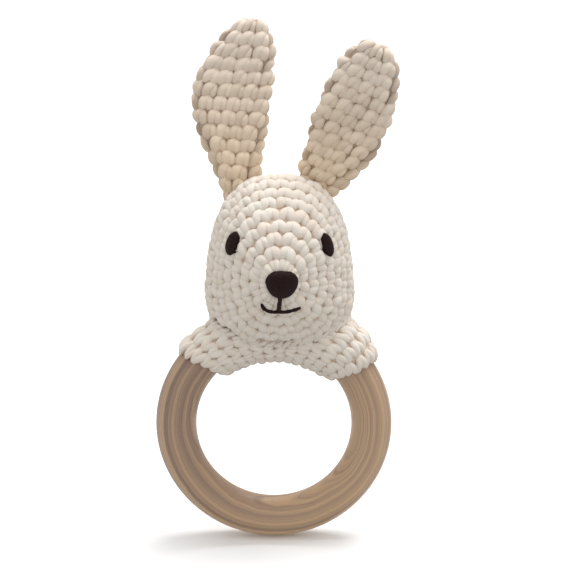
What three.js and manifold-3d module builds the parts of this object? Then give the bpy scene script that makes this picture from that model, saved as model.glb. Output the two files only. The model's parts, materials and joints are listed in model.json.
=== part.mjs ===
// Baby rattle: a crocheted rabbit head sewn to a crocheted sleeve that wraps a wooden grip ring.
// Millimetres, +Z up. The ring stands upright, its axis along Y, and its lowest point is the origin.
// The rabbit looks along -Y. +X is to the right of someone facing the rabbit.

import * as THREE from 'three';
import { mergeVertices } from 'three/addons/utils/BufferGeometryUtils.js';
import Module from 'manifold-3d';

const wasm = await Module();
wasm.setup();

// ---- driving dimensions -------------------------------------------------------------------------

const GAP = 0.3; // clearance between neighbouring pieces
const YARN = 0.6; // radius of the sewing and embroidery yarn

const RING_OD = 70;
const RING_BAR = 12;
const RING_R = (RING_OD - RING_BAR) / 2; // to the middle of the bar
const RING_CENTRE = new THREE.Vector3(0, 0, RING_OD / 2);

const SLEEVE_EASE = 0.45; // between the bar and the crocheted tube
const SLEEVE_BORE = RING_BAR / 2 + SLEEVE_EASE; // inner radius of the crocheted tube
const SLEEVE_R = 8.8; // outer radius of the crocheted tube
const SLEEVE_FROM = -48; // degrees from the top of the ring, towards -X
const SLEEVE_TO = 52; // degrees from the top of the ring, towards +X
const SLEEVE_SEAM_AT = 140; // degrees round the bar from its outer side, over the back
const SLEEVE_END = 2; // degrees by which the bore is cut past the sleeve's ends
const SLEEVE_ROOM = 8; // degrees by which the head makes room past the sleeve's ends

const HEAD = {
  centre: new THREE.Vector3(1.7, 0, 84),
  width: 21.4, // half widths
  front: 22,
  back: 20,
  height: 27,
  pear: 0.14, // how much wider the cheeks are than the crown
  square: 2.7, // 2 is round, more is squarer, seen from the front
  muzzle: 1.5, // 2 is a round face, less runs out more to the nose
};
const COVER = 3; // thickness of the crocheted fabric

const CASE_R = 12; // rattle case
const CASE_WALL = 1.2;
const CASE_CENTRE = new THREE.Vector3(1.7, 0, 88);
const BEAD_R = 2;
const BEAD_LANES = [[0, 0], [5, 0], [-5, 0], [0, 5], [0, -5]];

const EAR = {
  thick: 6.4,
  edge: 0.8, // half thickness at its rounded edge
  root: -1, // where its outline starts, below its base
  lift: 1.9, // how far it stays off the head
  swing: 50, // degrees fore and aft over which it stays off the head
};
const EARS = {
  left: {
    base: [-10, 6, 106.3],
    lean: 3.5,
    back: 12,
    foot: [-6.5, 5.2], // its left and right edges at the base, across the ear
    widest: [[-15.8, 26, 0.4], [8.2, 36, 0.7]], // where each edge is widest, and its fullness above
    tip: [0.6, 50.3],
  },
  right: {
    base: [13.2, 6, 106.8],
    lean: 22.6,
    back: -4,
    foot: [-7, 7.2],
    widest: [[-10.3, 28, 0.7], [12.4, 22, 0.6]],
    tip: [-0.8, 47.6],
  },
};

const NOSE = { x: 2.4, z: 84.3, width: 9.2, height: 8.3, proud: 1.3, thick: 3, roll: 0.7 };
const EYE = { across: 2.1, tall: 3.75, proud: 1.1, tilt: 20 };
const EYES = { left: [-12, 93.9], right: [15.6, 93.4] };
const MOUTH = {
  mouth_stem: [[1.9, 79.6], [1.7, 78.4], [1.5, 76.9]],
  mouth_left: [[0.8, 75.5], [-1, 75.75], [-2.7, 76.55], [-3.6, 78]],
  mouth_right: [[2.1, 75.5], [3.9, 75.75], [5.8, 76.35], [7.8, 76.8]],
};

// ---- materials ----------------------------------------------------------------------------------

function finish(color, roughness, metalness = 0) {
  return new THREE.MeshStandardMaterial({ color, roughness, metalness });
}

const wood = () => finish(0xb3977c, 0.55);
const headCotton = () => finish(0xe8e0d3, 0.95);
const earCotton = () => finish(0xdccdb8, 0.95);
const sewingYarn = () => finish(0xe2d9ca, 0.95);
const wadding = () => finish(0xf4f4f2, 1);
const caseShell = () => finish(0xdfe6ea, 0.35);
const beadPlastic = () => finish(0xd9a441, 0.35);
const darkThread = () => finish(0x2a1718, 0.7);

// ---- solids -------------------------------------------------------------------------------------

function signedVolume(geometry) {
  const p = geometry.attributes.position;
  const corner = [0, 1, 2].map(() => new THREE.Vector3());
  let sum = 0;
  for (let i = 0; i < geometry.index.count; i += 3) {
    corner.forEach((c, k) => c.fromBufferAttribute(p, geometry.index.getX(i + k)));
    sum += corner[0].dot(corner[1].clone().cross(corner[2])) / 6;
  }
  return sum;
}

// A three.js geometry with shared vertices merged and its faces pointing out.
function closed(geometry) {
  const bare = geometry.clone();
  bare.deleteAttribute('normal');
  bare.deleteAttribute('uv');
  const merged = mergeVertices(bare, 1e-4);
  const index = merged.index;
  const kept = [];
  for (let i = 0; i < index.count; i += 3) {
    const [a, b, c] = [index.getX(i), index.getX(i + 1), index.getX(i + 2)];
    if (a !== b && b !== c && a !== c) kept.push(a, b, c);
  }
  merged.setIndex(kept);
  if (signedVolume(merged) < 0) {
    for (let i = 0; i < kept.length; i += 3) [kept[i], kept[i + 1]] = [kept[i + 1], kept[i]];
    merged.setIndex(kept);
  }
  return merged;
}

function solid(geometry) {
  const merged = closed(geometry);
  return new wasm.Manifold(new wasm.Mesh({
    numProp: 3,
    vertProperties: new Float32Array(merged.attributes.position.array),
    triVerts: new Uint32Array(merged.index.array),
  }));
}

function geometryOf(manifold) {
  const { vertProperties, triVerts } = manifold.getMesh();
  const geometry = new THREE.BufferGeometry();
  geometry.setAttribute('position', new THREE.BufferAttribute(vertProperties, 3));
  geometry.setIndex(new THREE.BufferAttribute(triVerts, 1));
  geometry.computeVertexNormals();
  return geometry;
}

const rattle = new THREE.Group();

function add(name, shape, material) {
  const geometry = shape.isBufferGeometry ? closed(shape) : geometryOf(shape);
  const mesh = new THREE.Mesh(geometry, material);
  mesh.name = name;
  rattle.add(mesh);
  return mesh;
}

function ball(radius, centre, around = 16, up = 10) {
  return new THREE.SphereGeometry(radius, around, up).translate(centre.x, centre.y, centre.z);
}

// A round cord along a smooth path through the points.
function cord(points, radius = YARN, steps = 3 * points.length, sides = 6) {
  const section = new THREE.Shape();
  for (let i = 0; i < sides; i += 1) {
    const a = (i / sides) * 2 * Math.PI;
    if (i === 0) section.moveTo(radius, 0);
    else section.lineTo(radius * Math.cos(a), radius * Math.sin(a));
  }
  const path = new THREE.CatmullRomCurve3(points, false, 'centripetal');
  return new THREE.ExtrudeGeometry(section, { steps, extrudePath: path, bevelEnabled: false });
}

// ---- grip ring and its sleeve -------------------------------------------------------------------

function circle(radius, sides, centreX = 0) {
  const points = [];
  for (let i = 0; i <= sides; i += 1) {
    const a = ((i % sides) / sides) * 2 * Math.PI;
    points.push(new THREE.Vector2(centreX + radius * Math.cos(a), radius * Math.sin(a)));
  }
  return points;
}

function addRing() {
  const bar = new THREE.LatheGeometry(circle(RING_BAR / 2, 18, RING_R), 60);
  add('wooden_ring', bar.translate(0, 0, RING_CENTRE.z), wood());
}

// A point beside the ring's middle line: turn in degrees from the top of the ring, away from it by
// radius, at the angle around the bar that is 0 outwards and 90 towards the back.
function besideRing(turn, radius, around) {
  const t = THREE.MathUtils.degToRad(turn);
  const a = THREE.MathUtils.degToRad(around);
  const out = RING_R + radius * Math.cos(a);
  return new THREE.Vector3(out * Math.sin(t), radius * Math.sin(a), RING_CENTRE.z + out * Math.cos(t));
}

class RingArc extends THREE.Curve {
  constructor(from, to) {
    super();
    this.from = from;
    this.to = to;
  }

  getPoint(u, target = new THREE.Vector3()) {
    return target.copy(besideRing(THREE.MathUtils.lerp(this.from, this.to, u), 0, 0));
  }
}

function tubeOnRing(radius, from, to, steps) {
  const section = new THREE.Shape(circle(radius, 20).slice(0, -1));
  const extrudePath = new RingArc(from, to);
  return solid(new THREE.ExtrudeGeometry(section, { steps, extrudePath, bevelEnabled: false }));
}

function addSleeve() {
  const outside = tubeOnRing(SLEEVE_R, SLEEVE_FROM, SLEEVE_TO, 18);
  const bore = tubeOnRing(SLEEVE_BORE, SLEEVE_FROM - SLEEVE_END, SLEEVE_TO + SLEEVE_END, 20);
  add('ring_sleeve', outside.subtract(bore), headCotton());
  const seam = [];
  for (let turn = SLEEVE_FROM + 2; turn <= SLEEVE_TO - 2; turn += 8) {
    seam.push(besideRing(turn, SLEEVE_R + GAP + YARN, SLEEVE_SEAM_AT));
  }
  add('sleeve_seam', cord(seam), sewingYarn());
}

// ---- head ---------------------------------------------------------------------------------------

// How far out a point lies: 0 at the head's centre, 1 on the surface of a head grown by lift.
function headLevel(p, lift = 0) {
  const z = (p.z - HEAD.centre.z) / (HEAD.height + lift);
  const narrow = 1 - HEAD.pear * THREE.MathUtils.clamp(z, -1, 1);
  const x = (p.x - HEAD.centre.x) / ((HEAD.width + lift) * narrow);
  const depth = p.y < HEAD.centre.y ? HEAD.front : HEAD.back;
  const y = Math.abs(p.y - HEAD.centre.y) / (depth + lift);
  const n = HEAD.square;
  const across = (Math.abs(x) ** n + Math.abs(z) ** n) ** (1 / n);
  const m = p.y < HEAD.centre.y ? HEAD.muzzle : 2;
  return (across ** m + y ** m) ** (1 / m);
}

// The head grown by lift, as a sphere with its poles at the nose and the back of the head.
function headGeometry(lift, around = 32, along = 20) {
  const geometry = new THREE.SphereGeometry(1, around, along);
  const p = geometry.attributes.position;
  const way = new THREE.Vector3();
  for (let i = 0; i < p.count; i += 1) {
    way.fromBufferAttribute(p, i).multiply(new THREE.Vector3(HEAD.width, HEAD.front, HEAD.height));
    let near = 0;
    let far = 3;
    for (let step = 0; step < 30; step += 1) {
      const middle = (near + far) / 2;
      const there = way.clone().multiplyScalar(middle).add(HEAD.centre);
      if (headLevel(there, lift) < 1) near = middle;
      else far = middle;
    }
    way.multiplyScalar(near).add(HEAD.centre);
    p.setXYZ(i, way.x, way.y, way.z);
  }
  return geometry;
}

// The point of the face in front of (x, z), on the head grown by lift.
function onFace(x, z, lift) {
  const p = new THREE.Vector3(x, HEAD.centre.y, z);
  const across = headLevel(p, lift);
  const m = HEAD.muzzle;
  p.y = HEAD.centre.y - (HEAD.front + lift) * Math.max(0, 1 - across ** m) ** (1 / m);
  return p;
}

function headNormal(p) {
  const step = 0.05;
  const slope = ['x', 'y', 'z'].map((axis) => {
    const ahead = p.clone();
    ahead[axis] += step;
    const behind = p.clone();
    behind[axis] -= step;
    return headLevel(ahead) - headLevel(behind);
  });
  return new THREE.Vector3(...slope).normalize();
}

function cutByHalf(shape, towards) {
  const size = 200;
  const half = new THREE.BoxGeometry(size, size, size);
  return shape.intersect(solid(half.translate(0, (towards * (size + GAP)) / 2, RING_CENTRE.z)));
}

function addHead() {
  const room = tubeOnRing(SLEEVE_R + GAP, SLEEVE_FROM - SLEEVE_ROOM, SLEEVE_TO + SLEEVE_ROOM, 22);
  const skin = solid(headGeometry(0)).subtract(solid(headGeometry(-COVER, 28, 16)));
  add('head_cover', skin.subtract(room), headCotton());

  const caseRoom = solid(ball(CASE_R + 2 * GAP, CASE_CENTRE, 18, 10));
  const filling = solid(headGeometry(-COVER - GAP, 24, 14)).subtract(room).subtract(caseRoom);
  add('stuffing_front', cutByHalf(filling, -1), wadding());
  add('stuffing_back', cutByHalf(filling, 1), wadding());
}

// The line where the head meets the sleeve, found outwards from the top of the sleeve.
function neckPoint(heading, lift) {
  const along = 0.45; // degrees along the ring for each degree round the bar
  let near = 0;
  let far = 150;
  const at = (reach) => besideRing(
    SLEEVE_FROM / 2 + SLEEVE_TO / 2 + along * reach * Math.cos(heading),
    SLEEVE_R + lift,
    reach * Math.sin(heading),
  );
  for (let step = 0; step < 30; step += 1) {
    const middle = (near + far) / 2;
    if (headLevel(at(middle), lift) < 1) near = middle;
    else far = middle;
  }
  return at(near);
}

function addSeams() {
  const neck = [];
  const turns = 36;
  for (let i = 0; i < turns; i += 1) {
    neck.push(neckPoint((i / turns) * 2 * Math.PI, GAP + YARN));
  }
  add('neck_seam', cord(neck, YARN, 2 * turns), sewingYarn());

  const knot = [];
  const knotR = 1.9;
  for (let turn = 10; turn <= 340; turn += 30) {
    const a = THREE.MathUtils.degToRad(turn);
    const x = HEAD.centre.x + knotR * Math.cos(a);
    knot.push(new THREE.Vector3(x, HEAD.back + GAP + YARN, HEAD.centre.z + knotR * Math.sin(a)));
  }
  add('head_closing_stitch', cord(knot, YARN, 18), sewingYarn());
}

// ---- rattle case and its beads ------------------------------------------------------------------

function addRattle() {
  const lip = 0.8;
  const arc = (radius, from, to, count = 8) => {
    const points = [];
    for (let i = 0; i <= count; i += 1) {
      const a = THREE.MathUtils.degToRad(THREE.MathUtils.lerp(from, to, i / count));
      points.push(new THREE.Vector2(Math.max(0, radius * Math.sin(a)), radius * Math.cos(a)));
    }
    return points;
  };
  const inner = CASE_R - CASE_WALL;
  const outer = CASE_R - lip;
  const profile = [...arc(outer, 0, 84), new THREE.Vector2(CASE_R, 1), new THREE.Vector2(CASE_R, 0)]
    .concat(arc(inner, 90, 0));
  const half = new THREE.LatheGeometry(profile, 24).rotateX(Math.PI / 2);
  for (const [name, flip] of [['rattle_case_top', 0], ['rattle_case_bottom', Math.PI]]) {
    const shell = half.clone().translate(0, 0, GAP / 2).rotateX(flip);
    add(name, shell.translate(...CASE_CENTRE), caseShell());
  }

  BEAD_LANES.forEach(([x, y], i) => {
    const reach = inner - BEAD_R - GAP;
    const drop = Math.sqrt(reach * reach - x * x - y * y);
    const centre = CASE_CENTRE.clone().add(new THREE.Vector3(x, y, GAP / 2 - drop));
    add(`rattle_bead_${i + 1}`, ball(BEAD_R, centre, 10, 6), beadPlastic());
  });
}

// ---- face ---------------------------------------------------------------------------------------

function addFace() {
  const clear = solid(headGeometry(GAP, 40, 28));

  const { width, height } = NOSE;
  const outline = new THREE.Shape();
  outline.moveTo(0, -height / 2);
  outline.bezierCurveTo(width * 0.34, -height * 0.48, width * 0.5, -height * 0.05, width / 2, height * 0.2);
  outline.bezierCurveTo(width * 0.5, height * 0.46, width * 0.3, height / 2, 0, height / 2);
  outline.bezierCurveTo(-width * 0.3, height / 2, -width * 0.5, height * 0.46, -width / 2, height * 0.2);
  outline.bezierCurveTo(-width * 0.5, -height * 0.05, -width * 0.34, -height * 0.48, 0, -height / 2);
  const { thick, roll } = NOSE;
  const bevel = { bevelThickness: roll, bevelSize: roll, bevelOffset: -roll, bevelSegments: 2 };
  const pad = new THREE.ExtrudeGeometry(outline, { depth: thick, curveSegments: 5, ...bevel });
  const front = onFace(NOSE.x, NOSE.z, NOSE.proud).y;
  pad.rotateX(Math.PI / 2).translate(NOSE.x, front + thick + roll, NOSE.z);
  add('nose_embroidery', solid(pad).subtract(clear), darkThread());

  for (const [side, [x, z]] of Object.entries(EYES)) {
    const seat = onFace(x, z, GAP);
    const out = headNormal(seat);
    const lens = new THREE.SphereGeometry(1, 14, 10).scale(EYE.across, EYE.tall, EYE.proud * 2);
    lens.rotateZ(THREE.MathUtils.degToRad(side === 'left' ? -EYE.tilt : EYE.tilt));
    const turn = new THREE.Matrix4().lookAt(out, new THREE.Vector3(), new THREE.Vector3(0, 0, 1));
    lens.applyMatrix4(turn).translate(...seat.addScaledVector(out, -EYE.proud));
    add(`eye_${side}`, solid(lens).subtract(clear), darkThread());
  }

  for (const [name, points] of Object.entries(MOUTH)) {
    add(name, cord(points.map(([x, z]) => onFace(x, z, GAP + YARN))), darkThread());
  }
}

// ---- ears ---------------------------------------------------------------------------------------

// The ear's own frame: +Y up its length, +X across it, +Z out of its front.
function earFrame({ base, lean, back }) {
  const up = new THREE.Vector3(0, 0, 1);
  up.applyAxisAngle(new THREE.Vector3(-1, 0, 0), THREE.MathUtils.degToRad(back));
  up.applyAxisAngle(new THREE.Vector3(0, 1, 0), THREE.MathUtils.degToRad(lean));
  const across = new THREE.Vector3().crossVectors(up, new THREE.Vector3(0, -1, 0)).normalize();
  const front = new THREE.Vector3().crossVectors(across, up);
  return new THREE.Matrix4().makeBasis(across, up, front).setPosition(...base);
}

// The edge from the ear's foot out to where it is widest and on to the tip, up or down it.
function earEdge(outline, foot, [wide, at, full], [tipAcross, tipUp], upwards) {
  const low = [[foot, EAR.root], [foot * 1.15, at * 0.3], [wide, at * 0.55], [wide, at]];
  const shoulder = [wide, at + full * 0.75 * (tipUp - at)];
  const high = [[wide, at], shoulder, [tipAcross + full * (wide - tipAcross), tipUp], [tipAcross, tipUp]];
  const pieces = upwards ? [low, high] : [high.reverse(), low.reverse()];
  for (const [, b, c, d] of pieces) outline.bezierCurveTo(...b, ...c, ...d);
}

function earOutline({ foot, widest, tip }) {
  const outline = new THREE.Shape();
  outline.moveTo(foot[0], EAR.root);
  earEdge(outline, foot[0], widest[0], tip, true);
  earEdge(outline, foot[1], widest[1], tip, false);
  return outline;
}

function addEar(side) {
  const place = EARS[side];
  const frame = earFrame(place);
  const roll = EAR.thick / 2 - EAR.edge;
  const bevel = { bevelThickness: roll, bevelSize: roll, bevelOffset: -roll, bevelSegments: 2 };
  const depth = EAR.thick - 2 * roll;
  const paddle = new THREE.ExtrudeGeometry(earOutline(place), { depth, curveSegments: 6, ...bevel });
  paddle.translate(0, 0, -depth / 2).applyMatrix4(frame);

  // The ear swings fore and aft about its base line, so its foot is cut clear of the head all the way.
  const hinge = new THREE.Vector3(...place.base);
  const axis = new THREE.Vector3().setFromMatrixColumn(frame, 0);
  const keepOut = headGeometry(EAR.lift, 24, 16);
  let ear = solid(paddle);
  for (let swing = -EAR.swing; swing <= EAR.swing; swing += 10) {
    const turned = keepOut.clone().translate(-hinge.x, -hinge.y, -hinge.z);
    turned.applyMatrix4(new THREE.Matrix4().makeRotationAxis(axis, THREE.MathUtils.degToRad(swing)));
    ear = ear.subtract(solid(turned.translate(hinge.x, hinge.y, hinge.z)));
  }
  add(`ear_${side}`, ear, earCotton());

  // Its sewing yarn lies on the head in a loop round the foot.
  const [from, to] = place.foot;
  const reach = (to - from) / 2;
  const loop = [];
  for (let turn = 8; turn <= 352; turn += 21.5) {
    const a = THREE.MathUtils.degToRad(turn);
    const p = new THREE.Vector3((from + to) / 2 + reach * Math.cos(a), 0, 0.6 * reach * Math.sin(a));
    p.applyMatrix4(frame);
    const inside = headNormal(p).multiplyScalar(-12).add(p);
    let near = 0;
    let far = 2;
    for (let step = 0; step < 30; step += 1) {
      const middle = (near + far) / 2;
      const there = inside.clone().lerp(p, middle);
      if (headLevel(there, GAP + YARN) < 1) near = middle;
      else far = middle;
    }
    loop.push(inside.lerp(p, near));
  }
  add(`ear_seam_${side}`, cord(loop, YARN, 34), sewingYarn());
}

addRing();
addSleeve();
addHead();
addSeams();
addRattle();
addFace();
addEar('left');
addEar('right');

export default rattle;
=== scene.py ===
"""Baby rattle: a crocheted rabbit head on a wooden grip ring, made stitch by stitch round the CAD frame."""

import json
import math

import bpy
import numpy as np
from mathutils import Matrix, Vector, noise


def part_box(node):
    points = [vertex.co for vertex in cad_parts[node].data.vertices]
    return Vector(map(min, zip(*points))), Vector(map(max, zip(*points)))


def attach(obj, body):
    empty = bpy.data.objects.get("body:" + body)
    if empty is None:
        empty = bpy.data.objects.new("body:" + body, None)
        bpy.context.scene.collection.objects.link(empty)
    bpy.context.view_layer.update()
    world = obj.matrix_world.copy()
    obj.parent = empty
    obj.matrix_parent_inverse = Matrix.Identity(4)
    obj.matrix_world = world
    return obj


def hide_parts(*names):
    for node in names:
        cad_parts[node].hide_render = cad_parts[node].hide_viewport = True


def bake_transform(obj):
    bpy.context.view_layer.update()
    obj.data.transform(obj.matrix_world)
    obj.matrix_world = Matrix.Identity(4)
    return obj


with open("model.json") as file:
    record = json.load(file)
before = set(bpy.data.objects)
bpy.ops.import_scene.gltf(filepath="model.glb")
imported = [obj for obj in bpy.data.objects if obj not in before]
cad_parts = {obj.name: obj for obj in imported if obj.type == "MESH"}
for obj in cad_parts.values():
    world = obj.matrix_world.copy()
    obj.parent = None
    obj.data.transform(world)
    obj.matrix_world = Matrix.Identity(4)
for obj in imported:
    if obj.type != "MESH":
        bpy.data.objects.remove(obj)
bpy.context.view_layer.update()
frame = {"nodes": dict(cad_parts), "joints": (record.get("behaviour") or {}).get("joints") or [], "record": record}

# Lengths here are in millimetres, in the CAD's frame. A mesh's points are turned into metres as it is made.
MM = 0.001


def box_mm(node):
    low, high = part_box(node)
    return np.array(low) / MM, np.array(high) / MM


# ---- sizes: from the frame's boxes where a box shows them, otherwise as in the CAD ----------------

RING_LOW, RING_HIGH = box_mm("wooden_ring")
BAR_R = 6.0
RING_R = (RING_HIGH[0] - RING_LOW[0]) / 2 - BAR_R  # to the middle of the bar
RING_CENTRE = np.array([0.0, 0.0, RING_HIGH[0]])

SLEEVE_R = 8.8  # where the head sits on it
# The sleeve's ends slant: degrees from the top of the ring, on the ring's outer and inner sides.
SLEEVE_FROM = (-51.5, -42.5)
SLEEVE_TO = (57.0, 50.0)
# Its radius at shares of its length, on the ring's outer and inner sides. Its ends are stretched thin.
SLEEVE_PLACES = (0.0, 0.12, 0.5, 0.85, 1.0)
SLEEVE_OUTER = (6.9, 7.6, 8.8, 10.6, 7.9)
SLEEVE_INNER = (8.3, 9.3, 9.8, 9.0, 7.3)
SLEEVE_SEAM_AT = 140.0  # degrees round the bar from its outer side, over the back
RIM_R = 0.45  # the cords that close the sleeve's ends, tucked under its first and last stitches
RIM_AT = (0.025, 0.975)

HEAD_LOW, HEAD_HIGH = box_mm("head_cover")
HEAD_HEIGHT = 27.0  # from its middle up
HEAD_WIDTH = 21.4  # from its middle to one side
HEAD_FRONT = -HEAD_LOW[1]
HEAD_BACK = HEAD_HIGH[1]
HEAD_CENTRE = np.array([(HEAD_LOW[0] + HEAD_HIGH[0]) / 2, 0.0, HEAD_HIGH[2] - HEAD_HEIGHT])
HEAD_PEAR = 0.14  # how much wider the cheeks are than the crown
HEAD_SQUARE = 2.7  # 2 is round, more is squarer, seen from the front
HEAD_MUZZLE = 1.5  # 2 is a round face, less runs out more to the nose

# How many degrees each ear leans towards +X and towards the back, and its flat outline: the corners of
# its foot, its widest place on each side with how full it is above it, and its tip.
EARS = {
    "left": {
        "lean": 3.5,
        "back": 12.0,
        "foot": (-6.5, 5.2),
        "widest": ((-15.8, 26.0, 0.4), (8.2, 36.0, 0.7)),
        "tip": (0.6, 50.3),
    },
    "right": {
        "lean": 22.6,
        "back": -4.0,
        "foot": (-7.0, 7.2),
        "widest": ((-10.3, 28.0, 0.7), (12.4, 22.0, 0.6)),
        "tip": (-0.8, 47.6),
    },
}
EAR_THICK = 6.4
EAR_ROOT = -5.5  # how far an ear's fabric runs down into the head

NOSE_LOW, NOSE_HIGH = box_mm("nose_embroidery")
NOSE_SINK = 0.35  # how much lower its stitches lie than its CAD solid
EYE_TILT = {"left": -22.0, "right": 19.0}  # degrees
EYE_ACROSS = {"left": 2.1, "right": 1.8}  # from its middle to one side
EYE_TALL = 3.75  # from its middle up
# The lines of the mouth, as x and z on the face.
MOUTH = {
    "mouth_stem": [(1.95, 81.0), (1.8, 79.0), (1.6, 77.3), (1.5, 75.6)],
    "mouth_left": [(1.9, 75.2), (-0.2, 75.3), (-1.9, 75.7), (-3.0, 76.6), (-3.65, 77.8)],
    "mouth_right": [(1.1, 75.2), (3.2, 75.3), (4.9, 75.6), (6.4, 76.0), (7.9, 76.35)],
}
MOUTH_R = {"mouth_stem": 0.66, "mouth_left": 0.55, "mouth_right": 0.55}

CROWN = 1.5  # from the middle of a crocheted fabric out to its stitches' crowns
BACKING = 0.25  # how far the cloth between the stitches rises above the middle of the fabric
BACKING_SHADE = 0.25  # painted shade of that cloth for the shadowed gaps, its place between the yarn's open and deep tones
STITCH = 4.1  # width of one stitch
ROW = 3.75  # height of one row on the head
FIRST_ROUND = (4.6, 3.2, 12, 0.0)  # on the head: s, height, stitches and phase, as crochet takes them
SEWING_YARN = 0.6  # radius

# ---- surfaces that stitches are laid on ---------------------------------------------------------


def unit(v):
    return v / np.maximum(np.linalg.norm(v, axis=-1, keepdims=True), 1e-9)


class Skin:
    """The middle of a crocheted fabric: closed rows of points, each evenly spaced round."""

    def __init__(self, rows, columns=240, outward=1.0):
        self.columns = columns
        self.rows = np.array([self.even(row, columns) for row in rows])
        steps = np.linalg.norm(np.diff(np.array(rows), axis=0), axis=2).mean(axis=1)
        self.s = np.concatenate([[0.0], np.cumsum(steps)])
        ahead = np.roll(self.rows, -1, axis=1)
        self.girths = np.linalg.norm(ahead - self.rows, axis=2).sum(axis=1)
        around = ahead - np.roll(self.rows, 1, axis=1)
        self.normals = outward * unit(np.cross(around, np.gradient(self.rows, axis=0)))

    @staticmethod
    def even(row, columns):
        closed = np.vstack([row, row[:1]])
        reach = np.concatenate([[0.0], np.cumsum(np.linalg.norm(np.diff(closed, axis=0), axis=1))])
        at = np.linspace(0, reach[-1], columns, endpoint=False)
        return np.stack([np.interp(at, reach, closed[:, k]) for k in range(3)], axis=1)

    @property
    def length(self):
        return self.s[-1]

    def girth(self, s):
        return float(np.interp(s, self.s, self.girths))

    def at(self, f, s):
        """Points and normals at the fraction f of the way round and s millimetres along."""
        row = np.interp(s, self.s, np.arange(len(self.s)))
        r0 = np.clip(np.floor(row).astype(int), 0, len(self.s) - 2)
        rt = (row - r0)[..., None]
        column = np.mod(f, 1.0) * self.columns
        c0 = np.floor(column).astype(int) % self.columns
        ct = (column - np.floor(column))[..., None]
        c1 = (c0 + 1) % self.columns

        def between(table):
            low = table[r0, c0] * (1 - ct) + table[r0, c1] * ct
            high = table[r0 + 1, c0] * (1 - ct) + table[r0 + 1, c1] * ct
            return low * (1 - rt) + high * rt

        return between(self.rows), unit(between(self.normals))


def head_level(p, lift=0.0):
    """How far out points lie: 1 is on the head grown by lift."""
    q = p - HEAD_CENTRE
    z = q[..., 2] / (HEAD_HEIGHT + lift)
    narrow = 1 - HEAD_PEAR * np.clip(z, -1, 1)
    x = q[..., 0] / ((HEAD_WIDTH + lift) * narrow)
    across = (np.abs(x) ** HEAD_SQUARE + np.abs(z) ** HEAD_SQUARE) ** (1 / HEAD_SQUARE)
    depth = np.where(q[..., 1] < 0, HEAD_FRONT, HEAD_BACK) + lift
    power = np.where(q[..., 1] < 0, HEAD_MUZZLE, 2.0)
    return (across ** power + (np.abs(q[..., 1]) / depth) ** power) ** (1 / power)


def head_normal(p):
    step = 0.05
    slope = [head_level(p + step * axis) - head_level(p - step * axis) for axis in np.eye(3)]
    return unit(np.stack(slope, axis=-1))


def leave_head(place, near, far, lift=0.0):
    """How far place(reach) goes before it leaves the head grown by lift: it is inside the head at near
    and outside it at far."""
    for _ in range(32):
        middle = (near + far) / 2
        inside = head_level(place(middle), lift) < 1
        near = np.where(inside, middle, near)
        far = np.where(inside, far, middle)
    return near


def on_head(ways, lift):
    """Where lines from the head's centre along ways leave the head grown by lift."""

    def place(reach):
        return HEAD_CENTRE + ways * reach[..., None]

    start = np.zeros(ways.shape[:-1])
    return place(leave_head(place, start, start + 60.0, lift))


def on_face(x, z, lift):
    """Points of the face in front of (x, z), on the head grown by lift."""
    flat = np.stack([x, np.zeros_like(x), z], axis=-1)
    inside = np.maximum(0.0, 1 - head_level(flat, lift) ** HEAD_MUZZLE)
    flat[..., 1] = -(HEAD_FRONT + lift) * inside ** (1 / HEAD_MUZZLE)
    return flat


def off_sleeve(p, clear):
    """Points that would lie in the sleeve are moved out to its upper side, which the head sits on."""
    q = p - RING_CENTRE
    out = np.hypot(q[..., 0], q[..., 2])
    room = np.sqrt(np.maximum(clear ** 2 - q[..., 1] ** 2, 0))
    wanted = np.where(np.abs(q[..., 1]) < clear, RING_R + room, 0)
    scale = np.maximum(wanted / np.maximum(out, 1e-6), 1)[..., None]
    return RING_CENTRE + np.where(np.array([1, 0, 1]) > 0, q * scale, q)


def head_skin(lift, clear):
    """Rounds from the nose to the back of the head, each starting under the chin."""
    theta = np.linspace(0.02, math.pi - 0.02, 160)[:, None]
    phi = np.linspace(0, 2 * math.pi, 300, endpoint=False)[None, :] - math.pi / 2
    ways = np.stack([
        HEAD_WIDTH * np.sin(theta) * np.cos(phi),
        -(HEAD_FRONT + HEAD_BACK) / 2 * np.cos(theta) * np.ones_like(phi),
        HEAD_HEIGHT * np.sin(theta) * np.sin(phi),
    ], axis=-1)
    return Skin(off_sleeve(on_head(unit(ways), lift), clear), outward=-1)


def beside_ring(turn, radius, around):
    """A point beside the ring's middle line, with angles in degrees as in the CAD."""
    t, a = np.radians(turn), np.radians(around)
    out = RING_R + radius * np.cos(a)
    place = [out * np.sin(t), radius * np.sin(a) + 0 * t, out * np.cos(t)]
    return RING_CENTRE + np.stack(np.broadcast_arrays(*place), axis=-1)


def sleeve_turn(share, around):
    """Degrees from the top of the ring, for a share of the way along the sleeve."""
    outer = (1 + np.cos(np.radians(around))) / 2
    start, stop = (inner + (out - inner) * outer for out, inner in (SLEEVE_FROM, SLEEVE_TO))
    return start + (stop - start) * share


def sleeve_radius(share, around):
    """The sleeve's radius at its stitches' crowns, smoothly between its outer and inner sides."""
    outer = (1 + np.cos(np.radians(around))) / 2
    curve = smooth_weights(len(SLEEVE_PLACES), 81)
    places, out, inner = (curve @ np.array(v) for v in (SLEEVE_PLACES, SLEEVE_OUTER, SLEEVE_INNER))
    return np.interp(share, places, out) * outer + np.interp(share, places, inner) * (1 - outer)


def sleeve_skin(inset):
    """Rounds along the sleeve, inset from its crowns but never inside the bar."""
    share = np.linspace(0, 1, 90)[:, None]
    around = SLEEVE_SEAM_AT + np.linspace(0, 360, 120, endpoint=False)[None, :]
    radius = np.maximum(sleeve_radius(share, around) - inset, BAR_R + 0.75)
    return Skin(beside_ring(sleeve_turn(share, around), radius, around), columns=120, outward=-1)


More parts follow.
